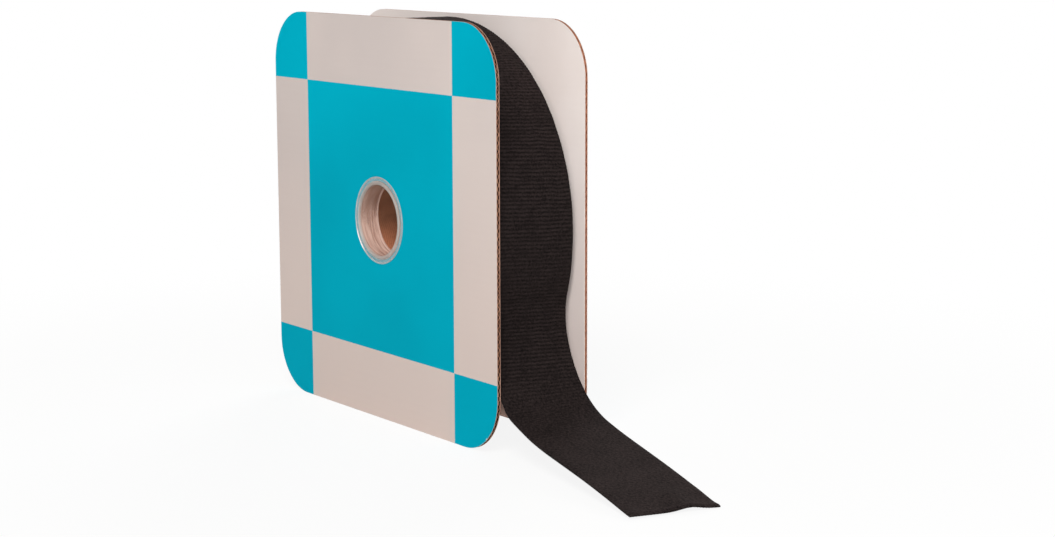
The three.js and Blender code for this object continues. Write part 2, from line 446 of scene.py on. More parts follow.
def printedFinish():
    finish = Finish("printedLiner")
    place = finish.coords()
    x = finish.axis(place, "X")
    z = finish.axis(place, "Z")
    soft = printBlocks["softness"]
    stray = (finish.grain(place, *printBlocks["strayGrain"]) - 0.5) * printBlocks["stray"]

    def past(overshoot):
        # 1 beyond one side of the middle block
        return finish.rise(overshoot + stray, -soft, soft)

    upright = past(printBlocks["left"] - x) + past(x - printBlocks["right"])
    level = past(z - printBlocks["top"]) + past(printBlocks["bottom"] - z)
    bare = upright + level - 2.0 * upright * level
    cloud = finish.grain(place, *printBlocks["cloudGrain"])
    clouded = finish.rise(cloud, *patchy)
    # painted light: the teal is lighter towards the upper left, where more light falls
    high = finish.rise(z - x * printBlocks["tealSlant"], *printBlocks["tealLitRange"])
    low = finish.rise(z, *printBlocks["whiteLowRange"]) * printBlocks["whiteLowShare"]
    teal = finish.mix(printBlocks["tealDeep"], printBlocks["teal"], clouded)
    teal = finish.mix(teal, printBlocks["tealLit"], high)
    white = finish.mix(printBlocks["whiteCool"], printBlocks["white"], clouded)
    white = finish.mix(white, printBlocks["whiteLow"], low)
    speck = finish.grain(place, *printBlocks["pinholeGrain"])
    pinholes = finish.rise(speck, *printBlocks["pinholeRange"]) * printBlocks["pinholeShare"]
    inked = finish.mix(finish.mix(teal, printBlocks["rubbed"], pinholes), white, bare)
    worn = finish.grain(place, *printBlocks["wearGrain"]) * printBlocks["wear"]
    rim = finish.rise(outlineDistance(x, z) + worn, *printBlocks["rimRange"])
    rub = printBlocks["rimShare"] + printBlocks["footShare"] * finish.rise(z, *printBlocks["footRange"])
    scuffed = spotDistance(x, z, printBlocks["scuff"]) + worn
    scuff = 1 - finish.rise(scuffed, *printBlocks["scuffReach"])
    colour = finish.mix(inked, printBlocks["rubbed"], (rim * rub + scuff).below(1.0))
    paper = finish.grain(place, *printBlocks["paperGrain"])
    height = washboard(z) * printBlocks["washboard"] + paper * printBlocks["tooth"]
    return finish.shade({
        "Base Color": colour,
        "Roughness": 0.46 + 0.12 * cloud + 0.1 * bare,
        "Specular IOR Level": 0.005,
        "Normal": finish.bump(height, printBlocks["relief"]),
    })


def plainLinerFinish():
    finish = Finish("plainLiner")
    place = finish.coords()
    z = finish.axis(place, "Z")
    cloud = finish.grain(place, *linerTones["cloudGrain"])
    drawn = finish.stretched(place, linerTones["fibreStretch"])
    fibre = finish.grain(drawn, *linerTones["fibreGrain"])
    # painted shade: the liner darkens downwards
    low = finish.rise(z, *linerTones["footShadeRange"]) * linerTones["footShadeShare"]
    # painted light: the foot between the flanges is lightened and warmed
    litFoot = finish.rise(z, *linerTones["footRange"]) * linerTones["footShare"]
    flecks = finish.rise(fibre, *linerTones["fleckRange"]) * linerTones["fleckShare"]
    base = finish.mix(linerTones["warm"], linerTones["white"], finish.rise(cloud, *patchy))
    base = finish.mix(base, linerTones["low"], low)
    base = finish.mix(base, linerTones["litFoot"], litFoot)
    height = washboard(z) * linerTones["washboard"] + fibre * linerTones["tooth"]
    return finish.shade({
        "Base Color": finish.mix(base, linerTones["fleck"], flecks),
        "Roughness": 0.72 + 0.12 * cloud,
        "Specular IOR Level": 0.25,
        "Normal": finish.bump(height, linerTones["relief"]),
    })


def kraftFinish(name, tones, fluteShade=False):
    finish = Finish(name)
    first, second, dark = tones
    place = finish.coords()
    cloud = finish.grain(place, *kraftTones["cloudGrain"])
    drawn = finish.stretched(place, kraftTones["fibreStretch"])
    fibre = finish.grain(drawn, *kraftTones["fibreGrain"])
    fibres = finish.rise(fibre, *kraftTones["fibreRange"]) * kraftTones["fibreShare"]
    colour = finish.mix(finish.mix(first, second, finish.rise(cloud, *patchy)), dark, fibres)
    if fluteShade:
        # painted shade: the flutes darken inward from the cut edge
        inward = 0.0 - outlineDistance(finish.axis(place, "X"), finish.axis(place, "Z"))
        fluteShading = finish.rise(inward, *kraftTones["fluteShadeDepth"]) * kraftTones["fluteShadeShare"]
        colour = finish.mix(colour, kraftTones["fluteShade"], fluteShading)
    return finish.shade({
        "Base Color": colour,
        "Roughness": 0.8 + 0.12 * fibre,
        "Specular IOR Level": 0.03,
        "Normal": finish.bump(fibre, kraftTones["relief"]),
    })


def flangeSheet(thickness):
    # a rounded square with its hole, lying in X and Z, with its thickness along +Y
    bm = bmesh.new()
    turn = Matrix.Rotation(math.radians(45), 4, "Z")
    bmesh.ops.create_circle(
        bm, cap_ends=True, segments=4, radius=flangeHalf * math.sqrt(2), matrix=turn)
    bmesh.ops.bevel(
        bm, geom=bm.verts[:], offset=board["cornerRadius"], segments=board["cornerSteps"],
        profile=0.5, affect="VERTICES", material=-1)
    bmesh.ops.delete(bm, geom=bm.faces[:], context="FACES_ONLY")
    outer = bm.edges[:]
    ring = bmesh.ops.create_circle(bm, segments=board["holeSteps"], radius=board["holeRadius"])
    inner = list({edge for vert in ring["verts"] for edge in vert.link_edges})
    bmesh.ops.bridge_loops(bm, edges=outer + inner)
    bmesh.ops.rotate(bm, verts=bm.verts, matrix=Matrix.Rotation(math.radians(90), 3, "X"))
    thicken(bm, (0, thickness, 0))
    bmesh.ops.recalc_face_normals(bm, faces=bm.faces)
    return bm


def makeLiner(name, node, body, slot, faceOut, finishes):
    # finishes: the side that faceOut points to, the cut edge, the glued side
    low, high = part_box(node)
    bm = flangeSheet(high.y - low.y)
    bmesh.ops.translate(bm, verts=bm.verts, vec=(0, low.y, 0))
    for face in bm.faces:
        facing = face.normal.y * faceOut
        face.material_index = 0 if facing > 0.5 else 2 if facing < -0.5 else 1
    join(makePiece(name, bm, finishes, 30), body, slot, node)


def makeMedium(name, node, body, finish):
    low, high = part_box(node)
    middle = (low.y + high.y) / 2
    thickness, pitch = board["mediumThickness"], board["flutePitch"]
    swing = (high.y - low.y - thickness) / 2
    flutes = math.ceil(2 * flangeHalf / pitch) + 2
    start = -flutes * pitch / 2 + board["crest"]
    bm = bmesh.new()
    turn = Matrix.Rotation(math.radians(90), 4, "X")
    bmesh.ops.create_grid(
        bm, x_segments=board["fluteColumns"], y_segments=flutes * board["fluteSteps"], size=0.5,
        matrix=turn)
    bmesh.ops.scale(bm, verts=bm.verts, vec=(board["fluteSpan"] * flangeHalf, 1, flutes * pitch))
    for vert in bm.verts:
        phase = 2 * math.pi * (vert.co.z - start) / pitch
        vert.co.y = middle - swing * math.cos(phase) - thickness / 2
    thicken(bm, (0, thickness, 0))
    bmesh.ops.recalc_face_normals(bm, faces=bm.faces)
    piece = makePiece(name, bm, [finish], 60)
    cutterMesh = flangeSheet(board["cutterDepth"])
    bmesh.ops.translate(cutterMesh, verts=cutterMesh.verts, vec=(0, middle - board["cutterDepth"] / 2, 0))
    cutter = makePiece(name + "Cutter", cutterMesh, [finish])
    trim = piece.modifiers.new("trim", "BOOLEAN")
    trim.operation = "INTERSECT"
    trim.solver = "EXACT"
    trim.object = cutter
    settle(piece)
    bpy.data.objects.remove(cutter)
    join(piece, body, "fluting", node)


def makeFlange(side, faceOut, fluting, cutEdge):
    body = side + "_flange"
    printedSides, plainSides = [printed, cutEdge, fluting], [plainLiner, cutEdge, fluting]
    makeLiner(side + "PrintedLiner", side + "_outer_liner", body, "printed_board", faceOut, printedSides)
    makeMedium(side + "Fluting", side + "_fluted_medium", body, fluting)
    makeLiner(side + "InnerLiner", side + "_inner_liner", body, "white_board", -faceOut, plainSides)


printed = printedFinish()
plainLiner = plainLinerFinish()
kraft = kraftFinish("kraftFluting", kraftTones["fluting"], fluteShade=True)
kraftEdge = kraftFinish("kraftCutEdge", kraftTones["cutEdge"])
evenKraft = kraftFinish("kraftEven", kraftTones["evenFluting"])
paleEdge = kraftFinish("paleCutEdge", kraftTones["paleEdge"])
makeFlange("front", -1, kraft, kraftEdge)
makeFlange("rear", 1, evenKraft, paleEdge)
print("flanges made")


# bushings
bushing = {
    "bore": 15.6 * mm,
    "barrel": 17.1 * mm,
    "barrelLength": 9.5 * mm,
    "leadChamfer": 0.5 * mm,
    "seatGap": 0.15 * mm,
    # radius and height over the seat, in mm: outer rim, groove, hub ring, mouth
    "lip": [
        (19.3, 0.0), (19.3, 0.16), (19.22, 0.33), (19.05, 0.42), (18.86, 0.42), (18.7, 0.33),
        (18.56, 0.16), (17.5, 0.2), (17.2, 0.44), (16.8, 0.74), (16.35, 0.84), (15.95, 0.74),
        (15.7, 0.5), (15.6, 0.2),
    ],
    "groove": (17.3 * mm, 18.5 * mm),
    "grooveSoftness": 0.15 * mm,
    "ridges": (2.2 * mm, 4.4 * mm, 5.6 * mm, 7.4 * mm),
    "ridgeHeight": 0.1 * mm,
    "ridgeWidth": 0.7 * mm,
    "steps": 128,
    "round": 0.1 * mm,
    "roundSteps": 3,
    "roundAngle": math.radians(28),
    "colour": srgb(205, 206, 201),
    "colourCloudy": srgb(216, 210, 204),
    "cloudGrain": (260.0, 3.0),
    "cloudRange": (0.35, 0.65),
    "lipBlend": (-0.4 * mm, 0.1 * mm),  # from barrel to lip, about the flange's face
    "barrelTint": srgb(246, 212, 196),  # the core's brown glows in the barrel
    "barrelDeep": srgb(198, 160, 144),
    "barrelTopShade": 0.55,  # painted shade: the barrel is clearer higher up, so the darker core shows there
    "barrelTopShadeRange": (-13 * mm, 7 * mm),
    "streakStretch": (0.06, 1.0, 0.06),  # moulding streaks run round the barrel
    "streakGrain": (800.0, 3.0, 0.6),
    "streakRange": (0.33, 0.67),
    "streakRelief": 0.015 * mm,
    "clear": 0.22,  # how much one thin face hides
    "milky": 0.44,  # the same at the hub ring
    "rimMilky": 0.4,
    "barrelClear": 0.38,
    "barrelMilky": 0.64,
    "endHighlight": (0.04 * mm, 0.2 * mm),  # painted highlight: the barrel's end shows as a paler line
    "endHighlightCover": 0.35,
    "glint": (-15.7 * mm, -10.6 * mm),  # light gathers in this stretch of the rim
    "glintReach": (2.5 * mm, 7.5 * mm),
    "glintFoot": (18.5 * mm, 18.8 * mm),
    "glintColour": srgb(255, 249, 246),
    "glintCover": 0.7,
    "mostCover": 0.95,
}


def bushingFinish():
    finish = Finish("naturalPlastic")
    place = finish.coords()
    x = finish.axis(place, "X")
    y = finish.axis(place, "Y")
    z = finish.axis(place, "Z")
    radius = (x * x + z * z).root()
    cloud = finish.grain(place, *bushing["cloudGrain"])
    drawn = finish.stretched(place, bushing["streakStretch"])
    streak = finish.rise(finish.grain(drawn, *bushing["streakGrain"]), *bushing["streakRange"])
    hubFoot, rimFoot = bushing["groove"]
    soft = bushing["grooveSoftness"]
    rim = finish.rise(radius, rimFoot - soft, rimFoot + soft)
    hub = 1 - finish.rise(radius, hubFoot - soft, hubFoot + soft)
    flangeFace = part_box("rear_outer_liner")[1].y
    blendLow, blendHigh = bushing["lipBlend"]
    onLip = finish.rise(abs(y), flangeFace + blendLow, flangeFace + blendHigh)
    barrelEnd = flangeFace + bushing["seatGap"] - bushing["barrelLength"]
    endLow, endHigh = bushing["endHighlight"]
    # painted highlight along the barrel's end
    endHighlight = 1 - finish.rise(abs(y), barrelEnd + endLow, barrelEnd + endHigh)
    inGlint = 1 - finish.rise(spotDistance(x, z, bushing["glint"]), *bushing["glintReach"])
    glint = inGlint * finish.rise(radius, *bushing["glintFoot"])
    clouded = finish.rise(cloud, *bushing["cloudRange"])
    plain = finish.mix(bushing["colour"], bushing["colourCloudy"], clouded)
    plain = finish.mix(plain, bushing["glintColour"], glint)
    tinted = finish.mix(bushing["barrelDeep"], bushing["barrelTint"], (streak + endHighlight).below(1.0))
    lipCover = bushing["clear"] + (bushing["milky"] - bushing["clear"]) * hub
    lipCover = lipCover + (bushing["rimMilky"] - bushing["clear"]) * rim
    barrelCover = bushing["barrelClear"] + (bushing["barrelMilky"] - bushing["barrelClear"]) * streak
    # painted shade: less cover at the top lets the dark core through
    topShade = bushing["barrelTopShade"] * finish.rise(z, *bushing["barrelTopShadeRange"])
    cover = lipCover * onLip + barrelCover * (1 - topShade) * (1 - onLip)
    cover = cover + endHighlight * bushing["endHighlightCover"] + glint * bushing["glintCover"]
    return finish.shade({
        "Base Color": finish.mix(tinted, plain, onLip),
        "Roughness": 0.16 + 0.08 * cloud,
        "IOR": 1.5,
        "Alpha": cover.below(bushing["mostCover"]),
        "Normal": finish.bump(streak * (1 - onLip), bushing["streakRelief"]),
    })


def makeBushing(name, node, outward, finish):
    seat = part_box("rear_outer_liner")[1].y + bushing["seatGap"]
    profile = [
        (bushing["bore"], -bushing["barrelLength"]),
        (bushing["barrel"] - bushing["leadChamfer"], -bushing["barrelLength"]),
        (bushing["barrel"], -bushing["barrelLength"] + bushing["leadChamfer"]),
        (bushing["barrel"], 0.0),
    ]
    profile += [(radius * mm, height * mm) for radius, height in bushing["lip"]]
    for depth in bushing["ridges"]:
        profile.append((bushing["bore"], -depth + bushing["ridgeWidth"] / 2))
        profile.append((bushing["bore"] - bushing["ridgeHeight"], -depth))
        profile.append((bushing["bore"], -depth - bushing["ridgeWidth"] / 2))
    bm = bmesh.new()
    verts = [bm.verts.new((radius, outward * (seat + along), 0)) for radius, along in profile]
    edges = [bm.edges.new((vert, verts[place - 1])) for place, vert in enumerate(verts)]
    bmesh.ops.spin(
        bm, geom=verts + edges, cent=(0, 0, 0), axis=(0, 1, 0), angle=2 * math.pi,
        steps=bushing["steps"], use_merge=True)
    bmesh.ops.remove_doubles(bm, verts=bm.verts, dist=1e-7)
    bmesh.ops.recalc_face_normals(bm, faces=bm.faces)
    piece = makePiece(name, bm, [finish])
    rounding = piece.modifiers.new("rounding", "BEVEL")
    rounding.width = bushing["round"]
    rounding.segments = bushing["roundSteps"]
    rounding.limit_method = "ANGLE"
    rounding.angle_limit = bushing["roundAngle"]
    join(settle(piece), "spool", "bushing_plastic", node)


naturalPlastic = bushingFinish()
makeBushing("frontBushing", "front_bushing", -1, naturalPlastic)
makeBushing("rearBushing", "rear_bushing", 1, naturalPlastic)
print("bushings made")


# core, two plies wound on the slant
core = {
    "innerPly": (17.25 * mm, 18.85 * mm, 0.75),  # inside, outside, the seam's share of a turn
    "outerPly": (18.89 * mm, 21.34 * mm, 0.25),
    "around": 180,
    "along": 90,
    "lead": 66.0 * mm,
    "seamWidth": 0.9 * mm,
    "seamDepth": 0.22 * mm,
    "hatch": 1.1 * mm,  # fine lines along the winding, in step with the lead
    "hatchStray": 2.0,
    "hatchRange": (-0.2, 0.9),
    "hatchShare": 0.3,
    "hatchRelief": 0.2,
    "light": srgb(138, 93, 69),
    "mid": srgb(118, 78, 57),
    "dark": srgb(84, 53, 39),
    "litFoot": srgb(190, 120, 86),  # painted light: lighter and more orange low down, where light falls into the bore from above
    "footRange": (0.0 * mm, -16 * mm),
    "footShare": 0.8,
    "cloudGrain": (120.0, 4.0),
    "fibreStretch": (1.0, 0.4, 1.0),
    "fibreGrain": (1500.0, 4.0, 0.75),
    "fibreRange": (0.5, 0.75),
    "fibreShare": 0.5,
    "relief": 0.05 * mm,
}


def coreFinish():
    finish = Finish("coreKraft")
    place = finish.coords()
    flat = finish.coords("UV")
    around = finish.axis(flat, "X")
    along = finish.axis(flat, "Y")
    cloud = finish.grain(place, *core["cloudGrain"])
    fibre = finish.grain(finish.stretched(place, core["fibreStretch"]), *core["fibreGrain"])
    turns = (along + around * core["lead"]) * (2 * math.pi / core["hatch"])
    lines = (turns + fibre * core["hatchStray"]).wave()
    # painted light: the core is lighter towards the bottom of the bore
    litFoot = finish.rise(finish.axis(place, "Z"), *core["footRange"]) * core["footShare"]
    base = finish.mix(core["mid"], core["light"], finish.rise(cloud, *patchy))
    base = finish.mix(base, core["litFoot"], litFoot)
    shade = finish.rise(fibre, *core["fibreRange"]) * core["fibreShare"]
    shade = shade + finish.rise(lines, *core["hatchRange"]) * core["hatchShare"]
    return finish.shade({
        "Base Color": finish.mix(base, core["dark"], shade),
        "Roughness": 0.82 + 0.1 * fibre,
        "Specular IOR Level": 0.2,
        "Normal": finish.bump(fibre - lines * core["hatchRelief"], core["relief"]),
    })


def makePly(name, node, inside, outside, seamPhase, finish):
    # rolled up from a flat sheet: x goes round, y along the tube, z through the wall
    low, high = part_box(node)
    length = high.y - low.y
    bm = bmesh.new()
    bmesh.ops.create_grid(bm, x_segments=core["around"], y_segments=core["along"], size=0.5)
    thicken(bm, (0, 0, 1))
    butts = [face for face in bm.faces if all(abs(vert.co.x) > 0.499 for vert in face.verts)]
    bmesh.ops.delete(bm, geom=butts, context="FACES")
    mapFlat(bm, "coreUV", lambda spot: (spot.x, spot.y * length))
    for vert in bm.verts:
        angle = 2 * math.pi * vert.co.x
        along = length * vert.co.y
        turned = (along / core["lead"] + vert.co.x + seamPhase) % 1.0
        offSeam = min(turned, 1 - turned) * core["lead"] * 2 / core["seamWidth"]
        groove = core["seamDepth"] * max(0.0, 1 - offSeam * offSeam)
        radius = outside - groove if vert.co.z > 0.5 else inside + groove
        vert.co = (radius * math.cos(angle), low.y + length / 2 + along, radius * math.sin(angle))
    bmesh.ops.remove_doubles(bm, verts=bm.verts, dist=1e-6)
    bmesh.ops.recalc_face_normals(bm, faces=bm.faces)
    join(makePiece(name, bm, [finish]), "spool", "core_paper", node)


coreKraft = coreFinish()
makePly("coreInnerPly", "core_inner_ply", *core["innerPly"], coreKraft)
makePly("coreOuterPly", "core_outer_ply", *core["outerPly"], coreKraft)
print("core made")


# tape
tape = {
    "width": 38.1 * mm,
    "offset": -0.3 * mm,
    "hook": 0.7 * mm,
    "film": 0.3 * mm,
    "loop": 0.86 * mm,
    "glue": 0.04 * mm,
    "rollRadius": 85.2 * mm,
    "outerTurns": 1.5,
    "turnGap": 0.45 * mm,
    "slackHeight": 2.6 * mm,
    "slackAngle": math.radians(110),
    "slackSpread": math.radians(126),
    "crownHeight": 0.75 * mm,  # the slack turn stands highest in a short stretch on top
    "crownAngle": math.radians(97),
    "crownSpread": math.radians(28),
    "acrossSteps": 18,
    "hookSteps": 2,
    "selvage": 0.008,  # the edges wander by this share of the width
    "selvageNoise": (160, 20, 1.3),  # along, across, seed
    "edgeDrop": 0.3 * mm,
    "edgeRun": 0.9 * mm,
}
ribs = {
    "pitch": 1.63 * mm,
    "skew": -0.06,
    "height": 0.16 * mm,
    "steps": 5,
    "wobble": 0.42 * mm,
    "wobbleNoise": (90, 190, 3.1),
    "level": 0.85,
    "patch": 0.75,
    "patchNoise": (420, 330, 7.7),
    "endFade": 0.8,  # the ribs fade towards the handled end
    "endRange": (28 * mm, 58 * mm),
    "leaveFade": 0.35,  # and a little where the tape leaves the roll
    "leavePlace": -8 * mm,
    "leaveReach": 12 * mm,
}
tail = {
    "leave": math.radians(-17),
    "length": 153 * mm,
    "bendRadius": 39.5 * mm,
    "endRadius": 20 * mm,
    "heading": math.radians(-8.7),
    "turnLength": 54 * mm,
    "floorGap": 0.05 * mm,
    "pathStep": 0.5 * mm,
    "slopes": (-math.pi / 3, math.pi / 6),  # the slope is sought between these
    "slopeTries": 60,
    "acrossSteps": 24,
    "filmSteps": 16,
    "blendLength": 30 * mm,  # the lifted end bends over this stretch
    "endSpare": 3 * mm,  # the route goes on this far, for a cut that isn't square
    "endCut": (-0.4 * mm, 2.1 * mm),  # the cut's place at the near and the far edge
    "endCutRun": 30 * mm,
    "endPinch": 0.32,  # the shears press the cut end thinner by this share
    "endPinchRun": 1.4 * mm,
    "endLift": 1.2 * mm,  # a ripple in the cut end
    "endLiftRun": 26 * mm,
    "endLiftPlace": 0.17,  # where it stands and how wide it is, as shares of the width
    "endLiftReach": 0.15,
    "endDrift": 0.9 * mm,  # the last stretch swings towards the near side
    "endDriftRun": 45 * mm,
    # where the edges lie off the plain route: place, reach, height
    "nearHumps": [
        (40 * mm, 8 * mm, -0.45 * mm), (48.5 * mm, 7.5 * mm, -1.5 * mm), (58 * mm, 8 * mm, 0.3 * mm),
        (65 * mm, 5 * mm, 0.3 * mm), (80 * mm, 13 * mm, -0.4 * mm),
    ],
    "farHumps": [(60 * mm, 13 * mm, 0.7 * mm)],
    # and where they come to stay off it: start, end, height
    "nearRamps": [(86 * mm, 142 * mm, 1.2 * mm), (34 * mm, 56 * mm, -0.55 * mm)],
    "farRamps": [(6 * mm, 26 * mm, 0.5 * mm), (138 * mm, 150 * mm, -0.35 * mm)],
}
tapeThickness = tape["hook"] + tape["glue"] + tape["loop"]
turnPitch = tapeThickness + tape["turnGap"]


def smoothstep(value, low, high):
    share = min(max((value - low) / (high - low), 0.0), 1.0)
    return share * share * (3 - 2 * share)


def hump(value, place, reach):
    return math.exp(-((value - place) / reach) ** 2)


def noiseAt(along, across, scales):
    return noise.noise(Vector((along * scales[0], across * scales[1], scales[2])))


def tailDrop(startSlope, slope):
    bend = tail["bendRadius"] * (math.cos(slope) - math.cos(startSlope))
    run = tail["length"] - tail["bendRadius"] * (slope - startSlope) - tail["endRadius"] * abs(slope)
    return bend - run * math.sin(slope) + tail["endRadius"] * (1 - math.cos(slope))


def tailSlope(startSlope, drop):
    # halves the range until the end lies on the floor
    steep, shallow = tail["slopes"]
    for _ in range(tail["slopeTries"]):
        slope = (steep + shallow) / 2
        if tailDrop(startSlope, slope) > drop:
            steep = slope
        else:
            shallow = slope
    return (steep + shallow) / 2


def tailPath():
    # stations every pathStep: place, outward, across
    radius = tape["rollRadius"] - tapeThickness / 2
    startSlope = tail["leave"] - math.pi / 2
    place = Vector((radius * math.cos(tail["leave"]), tape["offset"], radius * math.sin(tail["leave"])))
    slope = tailSlope(startSlope, place.z - (cadBox[0].z + tail["floorGap"] + tapeThickness / 2))
    bendEnd = tail["bendRadius"] * (slope - startSlope)
    slopeEnd = tail["length"] - tail["endRadius"] * abs(slope)

    def direction(along):
        down = slope
        if along < bendEnd:
            down = startSlope + along / tail["bendRadius"]
        elif along > slopeEnd:
            down = slope * max(tail["length"] - along, 0) / (tail["length"] - slopeEnd)
        heading = tail["heading"] * smoothstep(along, 0, tail["turnLength"])
        return heading, Vector((
            math.cos(down) * math.cos(heading), math.cos(down) * math.sin(heading), math.sin(down)))

    stations = []
    whole = tail["length"] + tail["endSpare"]
    steps = round(whole / tail["pathStep"])
    step = whole / steps
    for count in range(steps + 1):
        along = count * step
        heading, forward = direction(along)
        across = Vector((-math.sin(heading), math.cos(heading), 0))
        stations.append((place.copy(), forward.cross(across).normalized(), across))
        place += direction(along + step / 2)[1] * step
    return stations


tailStations = tailPath()


def edgeLift(along, side):
    # how far the near or the far edge lies off the plain route
    humps = sum(height * hump(along, place, reach) for place, reach, height in tail[side + "Humps"])
    ramps = sum(height * smoothstep(along, start, end) for start, end, height in tail[side + "Ramps"])
    return humps + ramps


def ontoTail(along, across, depth):
    def towardsEnd(run):
        return smoothstep(along, tail["length"] - run, tail["length"])

    width = across / tape["width"]
    cutNear, cutFar = tail["endCut"]
    cut = cutNear * (0.5 - width) + cutFar * (0.5 + width)
    pinch = 1 - tail["endPinch"] * towardsEnd(tail["endPinchRun"])
    along += cut * towardsEnd(tail["endCutRun"])
    whole = tail["length"] + tail["endSpare"]
    spot = min(max(along / whole, 0.0), 1.0) * (len(tailStations) - 1)
    first = min(int(spot), len(tailStations) - 2)
    share = spot - first
    placeA, outA, sideA = tailStations[first]
    placeB, outB, sideB = tailStations[first + 1]
    out = outA.lerp(outB, share)
    side = sideA.lerp(sideB, share)
    point = placeA.lerp(placeB, share) + side * across + out * (depth * pinch - tapeThickness / 2)
    ripple = hump(width, tail["endLiftPlace"], tail["endLiftReach"])
    lift = tail["endLift"] * ripple * towardsEnd(tail["endLiftRun"])
    lift += edgeLift(along, "near") * (0.5 - width) + edgeLift(along, "far") * (0.5 + width)
    return point + Vector((0, -tail["endDrift"] * towardsEnd(tail["endDriftRun"]), lift))


def slackAt(angle):
    away = min(abs(angle - tape["slackAngle"]) / tape["slackSpread"], 1)
    crown = min(abs(angle - tape["crownAngle"]) / tape["crownSpread"], 1)
    slack = tape["slackHeight"] * (1 + math.cos(math.pi * away)) / 2
    return slack + tape["crownHeight"] * (1 + math.cos(math.pi * crown)) / 2


def ontoOuterTurns(along, across, depth, length):
    left = tape["outerTurns"] * (1 - along / length)
    angle = tail["leave"] + 2 * math.pi * left
    radius = tape["rollRadius"] - turnPitch * left + slackAt(angle) - tapeThickness + depth
    across *= 1 + tape["selvage"] * noiseAt(along, across, tape["selvageNoise"])
    return Vector((radius * math.cos(angle), tape["offset"] + across, radius * math.sin(angle)))


def ribShare(along, across):
    # 0 in the furrows and 1 on the ribs, which lie across the tape and fade where it has been handled
    skewed = along + ribs["skew"] * across
    wobble = noiseAt(along, across, ribs["wobbleNoise"]) * ribs["wobble"]
    rib = 0.5 + 0.5 * math.cos(2 * math.pi * (skewed + wobble) / ribs["pitch"])
    patch = ribs["patch"] * noiseAt(along, across, ribs["patchNoise"])
    handled = ribs["endFade"] * smoothstep(along, *ribs["endRange"])
    handled += ribs["leaveFade"] * hump(along, ribs["leavePlace"], ribs["leaveReach"])
    return min(max(rib * (ribs["level"] + patch), 0.0), 1.0) * (1 - handled) + 0.5 * handled


def ribTop(bm, tops, start):
    # sets the loop side's height and keeps each point's rib value
    ribLayer = bm.verts.layers.float["ribs"]
    for vert in tops:
        along, across = vert.co.x + start, vert.co.y
        vert[ribLayer] = ribShare(along, across)
        edge = tape["width"] / 2 - abs(across)
        drop = tape["edgeDrop"] * (1 - smoothstep(edge, 0, tape["edgeRun"]))
        vert.co.z -= ribs["height"] * (1 - vert[ribLayer]) + drop


def flatStrip(length, alongSteps, acrossSteps, lowDepth, highDepth):
    # x is the length, y the width and z the depth in the tape
    bm = bmesh.new()
    bm.verts.layers.float.new("ribs")
    bmesh.ops.create_grid(bm, x_segments=alongSteps, y_segments=acrossSteps, size=0.5)
    bmesh.ops.scale(bm, verts=bm.verts, vec=(length, tape["width"], 1))
    bmesh.ops.translate(bm, verts=bm.verts, vec=(length / 2, 0, lowDepth))
    tops = thicken(bm, (0, 0, highDepth - lowDepth))
    bmesh.ops.recalc_face_normals(bm, faces=bm.faces)
    return bm, tops


def layTape(bm, ontoRoute, start=0.0):
    # lays a flat strip along its route
    mapFlat(bm, "tapeUV", lambda spot: (spot.x + start, spot.y + spot.z))
    for vert in bm.verts:
        vert.co = ontoRoute(vert.co.x, vert.co.y, vert.co.z)
    bmesh.ops.recalc_face_normals(bm, faces=bm.faces)


felt = {
    "valley": srgb(9, 8, 8),
    "crest": srgb(51, 43, 42),
    "toneRange": (-0.1, 1.1),
    "middle": 0.45,
    "ribWeight": 0.42,
    # grains: scale, detail, roughness, and how strongly each shows
    "napGrain": (1500.0, 4.0, 0.7),
    "napWeight": 1.6,
    "tuftGrain": (800.0, 3.0, 0.6),
    "tuftWeight": 0.6,
    "fibreGrain": (2600.0, 3.0, 0.7),
    "fibreStretch": (1.0, 0.3, 1.0),
    "fibreWeight": 0.7,
    "patchGrain": (70.0, 2.0, 0.5),
    "handledRange": (24 * mm, 62 * mm),  # along the free end, which is fluffed up by handling
    "handledTuft": 1.0,
    "handledPatch": 0.5,
    "fadedLitRange": (15 * mm, 130 * mm),  # and lighter: partly worn grey, partly painted light on the flat end that faces up
    "fadedLitLift": 0.12,
    "brushedLitRange": (40 * mm, 85 * mm),  # up the roll, whose top is brushed, and painted lighter there, as lit from above
    "topLightLift": 0.14,
    "brushedTuft": 1.6,
    "brushedFibre": 0.8,
    "napRelief": 0.6,
    "tuftRelief": 0.4,
    "relief": 0.16 * mm,
    "sheenTint": srgb(255, 226, 220),
}


